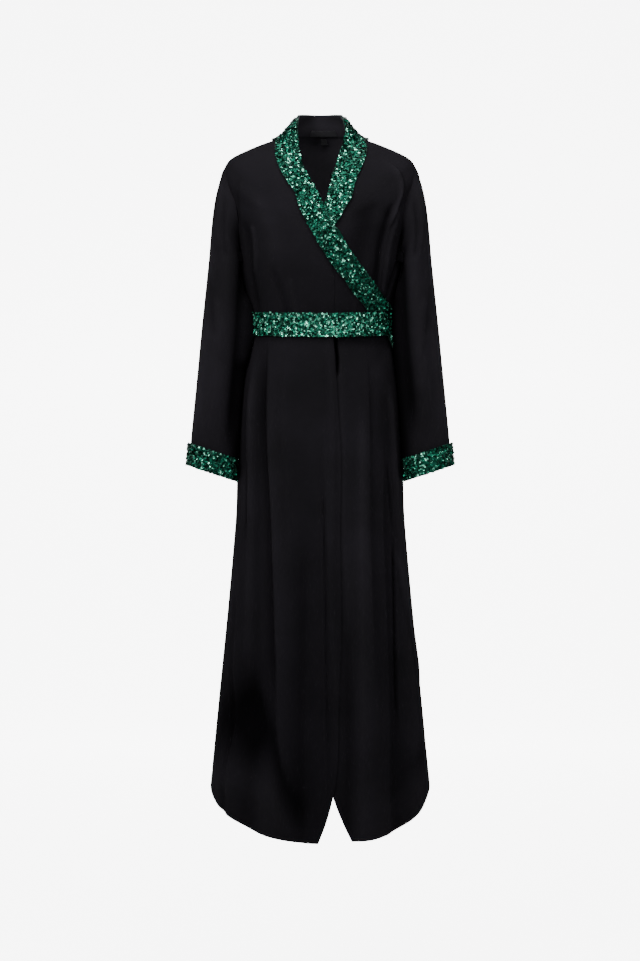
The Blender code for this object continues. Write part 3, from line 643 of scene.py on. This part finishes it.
def sequin_finish():
    """Emerald foil: every sequin has its own depth of green, a few are pale mint as partly
    painted glints.
    """
    made = bpy.data.materials.new("emerald sequins")
    made.use_nodes = True
    nodes, links = made.node_tree.nodes, made.node_tree.links
    shader = nodes["Principled BSDF"]
    shader.inputs["Metallic"].default_value = 0.85
    shader.inputs["Roughness"].default_value = 0.24
    painted_light_and_tone = nodes.new("ShaderNodeAttribute")
    painted_light_and_tone.attribute_name = "painted_light_and_tone"
    tint = nodes.new("ShaderNodeValToRGB")
    tint.color_ramp.elements[0].position = 0.0
    tint.color_ramp.elements[0].color = (0.000, 0.014, 0.008, 1)
    tint.color_ramp.elements[1].position = 1.0
    tint.color_ramp.elements[1].color = (0.34, 0.90, 0.66, 1)
    middle = tint.color_ramp.elements.new(0.45)
    middle.color = (0.001, 0.105, 0.060, 1)
    bright = tint.color_ramp.elements.new(0.78)
    bright.color = (0.040, 0.360, 0.220, 1)
    links.new(painted_light_and_tone.outputs["Fac"], tint.inputs["Fac"])
    links.new(tint.outputs["Color"], shader.inputs["Base Color"])
    return made


ground_cloth = green_ground()
emerald = sequin_finish()
SEQUIN_RADIUS = 0.0025
SEQUIN_STEP = 0.0034
SEQUIN_SIDES = 8
SEQUIN_SPREAD = 24.0


def sequins(name, grid, seed, around=False, pale=0.18, tone_top=0.78, ceiling=1.0,
            spread=SEQUIN_SPREAD):
    """Small cups all over a surface given as rows of points along it and across it."""
    dice = np.random.default_rng(seed)
    if around:
        grid = np.concatenate([grid, grid[:1]], axis=0)
    length = np.linalg.norm(np.diff(grid, axis=0), axis=-1).mean(axis=1).sum()
    width = np.linalg.norm(np.diff(grid, axis=1), axis=-1).sum(axis=1).mean()
    along = max(2, int(round(length / SEQUIN_STEP)))
    across = max(2, int(round(width / (SEQUIN_STEP * 0.92))))
    u, v = np.meshgrid(np.arange(along), np.arange(across), indexing="ij")
    u = (u + 0.5 * (v % 2) + dice.uniform(-0.28, 0.28, u.shape)) / along
    v = (v + 0.5 + dice.uniform(-0.28, 0.28, v.shape)) / across
    u = np.mod(u, 1.0) if around else np.clip(u, 0.002, 0.998)
    u, v = u.ravel(), np.clip(v, 0.0, 1.0).ravel()
    steps = np.linalg.norm(np.diff(grid, axis=0), axis=-1).mean(axis=1)
    reach = np.concatenate([[0.0], np.cumsum(steps)]) / steps.sum()
    fu = np.interp(u, reach, np.arange(len(reach)))
    fv = v * (grid.shape[1] - 1)
    i = np.clip(fu.astype(int), 0, grid.shape[0] - 2)
    j = np.clip(fv.astype(int), 0, grid.shape[1] - 2)
    a, b = (fu - i)[:, None], (fv - j)[:, None]
    p00, p10, p01, p11 = grid[i, j], grid[i + 1, j], grid[i, j + 1], grid[i + 1, j + 1]
    centre = p00 * (1 - a) * (1 - b) + p10 * a * (1 - b) + p01 * (1 - a) * b + p11 * a * b
    du = (p10 - p00) * (1 - b) + (p11 - p01) * b
    dv = (p01 - p00) * (1 - a) + (p11 - p10) * a
    du /= np.linalg.norm(du, axis=1)[:, None]
    normal = np.cross(du, dv)
    normal /= np.linalg.norm(normal, axis=1)[:, None]
    flip = np.sign((normal * (centre - grid.mean(axis=(0, 1)))).sum(1))
    if not around:
        flip = np.full(len(normal), np.sign(np.median(flip)))
    normal *= flip[:, None]
    side_way = np.cross(normal, du)
    centre, du, normal, side_way = (way[centre[:, 2] < ceiling]
                                    for way in (centre, du, normal, side_way))
    bright = dice.uniform(0, 1, len(centre)) < pale
    lean = np.radians(np.abs(dice.normal(0.0, spread, len(centre))))[:, None]
    lean = np.minimum(lean, math.radians(52)) * np.where(bright, 0.5, 1.0)[:, None]
    heading = dice.uniform(0, 2 * np.pi, len(centre))[:, None]
    toward = du * np.cos(heading) + side_way * np.sin(heading)
    axis = normal * np.cos(lean) + toward * np.sin(lean)
    first = np.cross(axis, side_way)
    first /= np.linalg.norm(first, axis=1)[:, None]
    second = np.cross(axis, first)
    radius = SEQUIN_RADIUS * (dice.uniform(0.85, 1.12, len(centre)) - 0.12 * bright)[:, None]
    lift = 0.0007 + 0.55 * radius * np.sin(lean) + dice.uniform(0, 0.0007, len(centre))[:, None]
    middle = centre + normal * lift
    verts = [middle - axis * radius * 0.20]
    for k in range(SEQUIN_SIDES):
        turn = 2 * math.pi * k / SEQUIN_SIDES
        verts.append(middle + radius * (first * math.cos(turn) + second * math.sin(turn)))
    verts = np.stack(verts, axis=1)
    base = (np.arange(len(centre)) * (SEQUIN_SIDES + 1))[:, None]
    ring_ends = [(k, (k + 1) % SEQUIN_SIDES) for k in range(SEQUIN_SIDES)]
    faces = np.stack([np.stack([base[:, 0], base[:, 0] + 1 + k, base[:, 0] + 1 + after], -1)
                      for k, after in ring_ends], axis=1)
    mesh = bpy.data.meshes.new(name)
    mesh.from_pydata(verts.reshape(-1, 3).tolist(), [], faces.reshape(-1, 3).tolist())
    painted_light_and_tone = mesh.attributes.new("painted_light_and_tone", "FLOAT", "POINT")
    shade = np.where(bright, dice.uniform(0.80, 1.0, len(centre)),
                     dice.uniform(0.0, tone_top, len(centre)) ** 1.8)
    painted_light_and_tone.data.foreach_set("value", np.repeat(shade, SEQUIN_SIDES + 1).astype(np.float32))
    piece = bpy.data.objects.new(name, mesh)
    bpy.context.collection.objects.link(piece)
    piece.data.materials.append(emerald)
    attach(piece, "root")
    return piece


def trim(name, grid_at, seed, top=1.0, pale=0.18, tone_top=0.78,
         ceiling=1.0, spread=SEQUIN_SPREAD):
    """The strip and its sequins; grid_at gives its points at an outward distance."""
    middle = grid_at(0.0)
    strip = cloth_piece(name + "_cloth", [name], middle, TRIM, ground_cloth)
    covered = grid_at(TRIM / 2)
    return sequins(name + "_sequins", covered[:, :round(covered.shape[1] * top)], seed,
                   pale=pale, tone_top=tone_top, ceiling=ceiling, spread=spread)


def band_grid(table, inward):
    """Gives the points of a neck band, from seam to fold, at an outward distance."""
    stations = np.array(table)
    count = len(stations)
    fine = np.linspace(0, count - 1, 8 * count)
    at = np.arange(count, dtype=float)
    seam_a, seam_z, fold_a, fold_z = (smooth(at, stations[:, i], fine)[:, None] for i in range(4))
    across = np.linspace(0.0, 1.0, 12)[None, :]
    angle = seam_a + (fold_a - seam_a) * across
    side_z = seam_z + (fold_z - seam_z) * across
    seat = TRIM_OUT + (tuck(side_z, angle) if inward else 0.0)
    return lambda out: body(side_z, angle, seat + out, ())


# Partly painted light: the sequins reflect the lamps, but the share of pale ones and how dark the
# rest run are set per piece to how much light it catches, fewer pale on the neck bands as painted
# shade.
trim("band_right", band_grid(UPPER_BAND, False), 11,
     pale=0.09, tone_top=0.64, ceiling=0.041)
trim("band_left", band_grid(UNDER_BAND, True), 12,
     pale=0.09, tone_top=0.64, ceiling=0.041)
collar_angle = np.linspace(90.15, 269.85, 90)[:, None]
collar_z = np.linspace(-0.001, 0.0465, 20)[None, :]
trim("collar", lambda out: body(collar_z, collar_angle, TRIM_OUT + out), 13,
     top=0.85, pale=0.12, tone_top=0.68)

# Collar facing, label and size tab: the collar's inside is plain black crepe; a small woven
# label and a size tab are sewn to it at the middle of the back neck, without lettering here.
facing_z = np.linspace(0.0006, 0.0470, 34)[:, None]
facing_angle = np.linspace(91.0, 269.0, 110)[None, :]
facing_out = np.interp(facing_z, [0.005, 0.046], [-0.0030, 0.0002])
points = body(facing_z, facing_angle, facing_out)
# Painted light: how light the facing is, and how much lighter at its sides, was set to match the
# photo.
FACING_PAINTED_LIGHT = 2.8
facing_painted_sides = np.minimum(0.80 + 0.90 * ((facing_angle - 180.0) / 50.0) ** 2, 1.8)
facing = cloth_piece("collar_facing_cloth", ["collar_facing"], points, 0.0010, black_crepe,
                     shade=FACING_PAINTED_LIGHT * facing_painted_sides)
label_cloth = crepe("woven label", (0.026, 0.026, 0.028), 0.4, 0.0, 0.1)
points = body(np.linspace(0.0014, 0.0084, 8)[:, None], 180.0 - np.linspace(-14, 24, 20)[None, :],
              -0.0045)
label = cloth_piece("neck_label_cloth", ["neck_label"], points, 0.0008, label_cloth)
points = body(np.linspace(-0.0062, -0.0009, 6)[:, None], 180.0 - np.linspace(1, 8, 8)[None, :],
              -0.0050)
tab = cloth_piece("size_tab_cloth", ["size_tab"], points, 0.0008, label_cloth)

# Belt: a straight sequined strip 48 mm wide round the waist, in a front and a back half joined
# at the side seams, with its short end hanging below at the wearer's left side.
BELT_OUT = 0.0029
BELT_FOOT_Z = -0.4105
TAIL_TOP_Z = -0.4117
TAIL_FRONT, TAIL_ROUND, TAIL_SLANT = 65.5, 12.5, 9.0
belt_z = np.linspace(BELT_FOOT_Z, -0.3627, 14)[None, :]
half_turn = np.linspace(-89.8, 89.8, 120)[:, None]
# Partly painted light: more pale sequins on the belt and its hanging end, as painted glints.
trim("belt_front", lambda out: body(belt_z, half_turn, BELT_OUT + out), 21,
     pale=0.21, tone_top=0.86)
trim("belt_back", lambda out: body(belt_z, half_turn + 180.0, BELT_OUT + out), 22)
tail_z = np.linspace(-0.437, TAIL_TOP_Z, 12)[None, :]
tail_share = np.linspace(0, 1, 10)[:, None]
tail_angle = TAIL_FRONT + TAIL_ROUND * tail_share + TAIL_SLANT * (BELT_FOOT_Z - tail_z) / 0.03
tail_lift = 0.0030 + (0.0006 + 0.0030 * tail_share) * ease((TAIL_TOP_Z - tail_z) / 0.025)
trim("belt_tail", lambda out: body(tail_z, tail_angle, tail_lift + out), 23,
     pale=0.40, tone_top=1.0, spread=60.0)

# Cuffs: a stiffened band of the same sequined strip round each sleeve end, standing a little
# proud of it.
CUFF = (
    Sleeve(-0.6515, 0.2220, -0.0390, 0.0500, 0.0368, 0.34),
    Sleeve(-0.6730, 0.2238, -0.0395, 0.0501, 0.0368, 0.34),
    Sleeve(-0.6975, 0.2258, -0.0400, 0.0504, 0.0368, 0.34),
)
CUFF_CLEAR = SLEEVE_CLEAR - 0.0027


def cuff_grid(sign):
    """Gives the points of a cuff at an outward distance; sign is 1 for left, -1 for right."""
    table = np.array(CUFF)[::-1]
    rings = []
    for z in np.linspace(-0.6975, -0.6515, 14):
        row = [z] + [smooth(table[:, 0], table[:, i], z) for i in range(1, 6)]
        rings.append(sleeve_ring(row, CUFF_CLEAR))
    points = np.array(rings).transpose(1, 0, 2)
    middle = points.mean(axis=(0, 1))
    away = points - middle
    away[..., 2] = 0
    away /= np.linalg.norm(away, axis=-1, keepdims=True)
    return lambda out: (points + away * out) * np.array([sign, 1.0, 1.0])


for side_name, sign, seed in (("left", 1.0, 31), ("right", -1.0, 32)):
    grid_at = cuff_grid(sign)
    ring_points = grid_at(0.0)
    name = "cuff_" + side_name
    strip = cloth_piece(name + "_cloth", [name], ring_points.transpose(1, 0, 2), TRIM,
                        ground_cloth, around=True)
    round(STRIP_SHARE * min(area_of(ring_points.transpose(1, 0, 2), around=True),
                                    0.047 * 0.30), 6)
    # Partly painted light: the cuffs' share of pale sequins is set to how much light they catch.
    sequins(name + "_sequins", grid_at(TRIM / 2), seed, around=True, pale=0.12, tone_top=0.68)

# Studio: a pale floor that curves up into a plain backdrop, lit where the picture is taken,
# soft lights and the camera.
FLOOR_Z = -1.80
BEND_Y = 3.4
BEND_RADIUS = 1.6
bpy.ops.mesh.primitive_plane_add(size=1.0)
floor = bpy.context.object
floor.name = "studio_floor"
bend = [(-12.0, FLOOR_Z), (BEND_Y, FLOOR_Z)]
bend += [(BEND_Y + BEND_RADIUS * math.sin(t), FLOOR_Z + BEND_RADIUS * (1 - math.cos(t)))
         for t in np.linspace(0, math.pi / 2, 24)[1:]]
bend += [(BEND_Y + BEND_RADIUS, 6.0)]
verts = [(x, y, z) for y, z in bend for x in (-10.0, 10.0)]
faces = [(2 * k, 2 * k + 1, 2 * k + 3, 2 * k + 2) for k in range(len(bend) - 1)]
floor.data.clear_geometry()
floor.data.from_pydata(verts, [], faces)
floor.data.shade_smooth()
pale = bpy.data.materials.new("pale backdrop")
pale.use_nodes = True
shader = pale.node_tree.nodes["Principled BSDF"]
shader.inputs["Base Color"].default_value = (0.86, 0.86, 0.86, 1)
shader.inputs["Roughness"].default_value = 0.9
shader.inputs["Emission Strength"].default_value = 6.5
place = pale.node_tree.nodes.new("ShaderNodeTexCoord")
parts = pale.node_tree.nodes.new("ShaderNodeSeparateXYZ")
wide = pale.node_tree.nodes.new("ShaderNodeMath")
wide.operation = "ABSOLUTE"
pale.node_tree.links.new(place.outputs["Object"], parts.inputs["Vector"])
pale.node_tree.links.new(parts.outputs["X"], wide.inputs[0])
glow = None
for source, dark, full in ((parts.outputs["Y"], -0.25, 0.27), (wide.outputs[0], 2.4, 1.75),
                           (parts.outputs["Z"], 3.0, 2.0)):
    fade = pale.node_tree.nodes.new("ShaderNodeMapRange")
    fade.inputs["From Min"].default_value = dark
    fade.inputs["From Max"].default_value = full
    pale.node_tree.links.new(source, fade.inputs["Value"])
    if glow is not None:
        pale.node_tree.links.new(glow, fade.inputs["To Max"])
    glow = fade.outputs["Result"]
pale.node_tree.links.new(glow, shader.inputs["Emission Color"])
floor.data.materials.append(pale)

Lamp = namedtuple("Lamp", "name x y z wide high power aim_x aim_z")
LAMPS = (
    Lamp("key", -1.7, -2.1, 1.2, 1.2, 1.2, 58.0, 0.0, -0.3),
    Lamp("fill", 1.9, -2.3, 0.9, 1.2, 1.2, 23.0, 0.0, -0.4),
    Lamp("top", 0.0, -0.8, 1.5, 1.8, 0.9, 56.0, 0.0, -0.1),
    Lamp("front", 0.0, -3.4, 0.5, 1.0, 0.6, 12.0, 0.0, -0.1),
)
for lamp in LAMPS:
    light = bpy.data.lights.new(lamp.name, "AREA")
    light.shape = "RECTANGLE"
    light.size = lamp.wide
    light.size_y = lamp.high
    light.energy = lamp.power
    holder = bpy.data.objects.new(lamp.name, light)
    bpy.context.collection.objects.link(holder)
    holder.location = (lamp.x, lamp.y, lamp.z)
    aim = np.array([lamp.aim_x - lamp.x, -lamp.y, lamp.aim_z - lamp.z])
    flat_reach = math.hypot(aim[0], aim[1])
    holder.rotation_euler = (math.atan2(flat_reach, -aim[2]), 0.0, math.atan2(-aim[0], aim[1]))

world = bpy.data.worlds.new("studio air")
world.use_nodes = True
world.node_tree.nodes["Background"].inputs["Color"].default_value = (0.9, 0.93, 0.95, 1)
world.node_tree.nodes["Background"].inputs["Strength"].default_value = 0.22
bpy.context.scene.world = world

CAMERA_AWAY = 3.6
PICTURE_HIGH = 961
POINT = 0.0021
camera = bpy.data.cameras.new("camera")
camera.sensor_width = 36.0
camera.lens = camera.sensor_width * CAMERA_AWAY / (PICTURE_HIGH * POINT)
camera_holder = bpy.data.objects.new("camera", camera)
bpy.context.collection.objects.link(camera_holder)
camera_holder.location = (-0.0004, -CAMERA_AWAY, -0.71295)
camera_holder.rotation_euler = (math.radians(90), 0, 0)
bpy.context.scene.camera = camera_holder
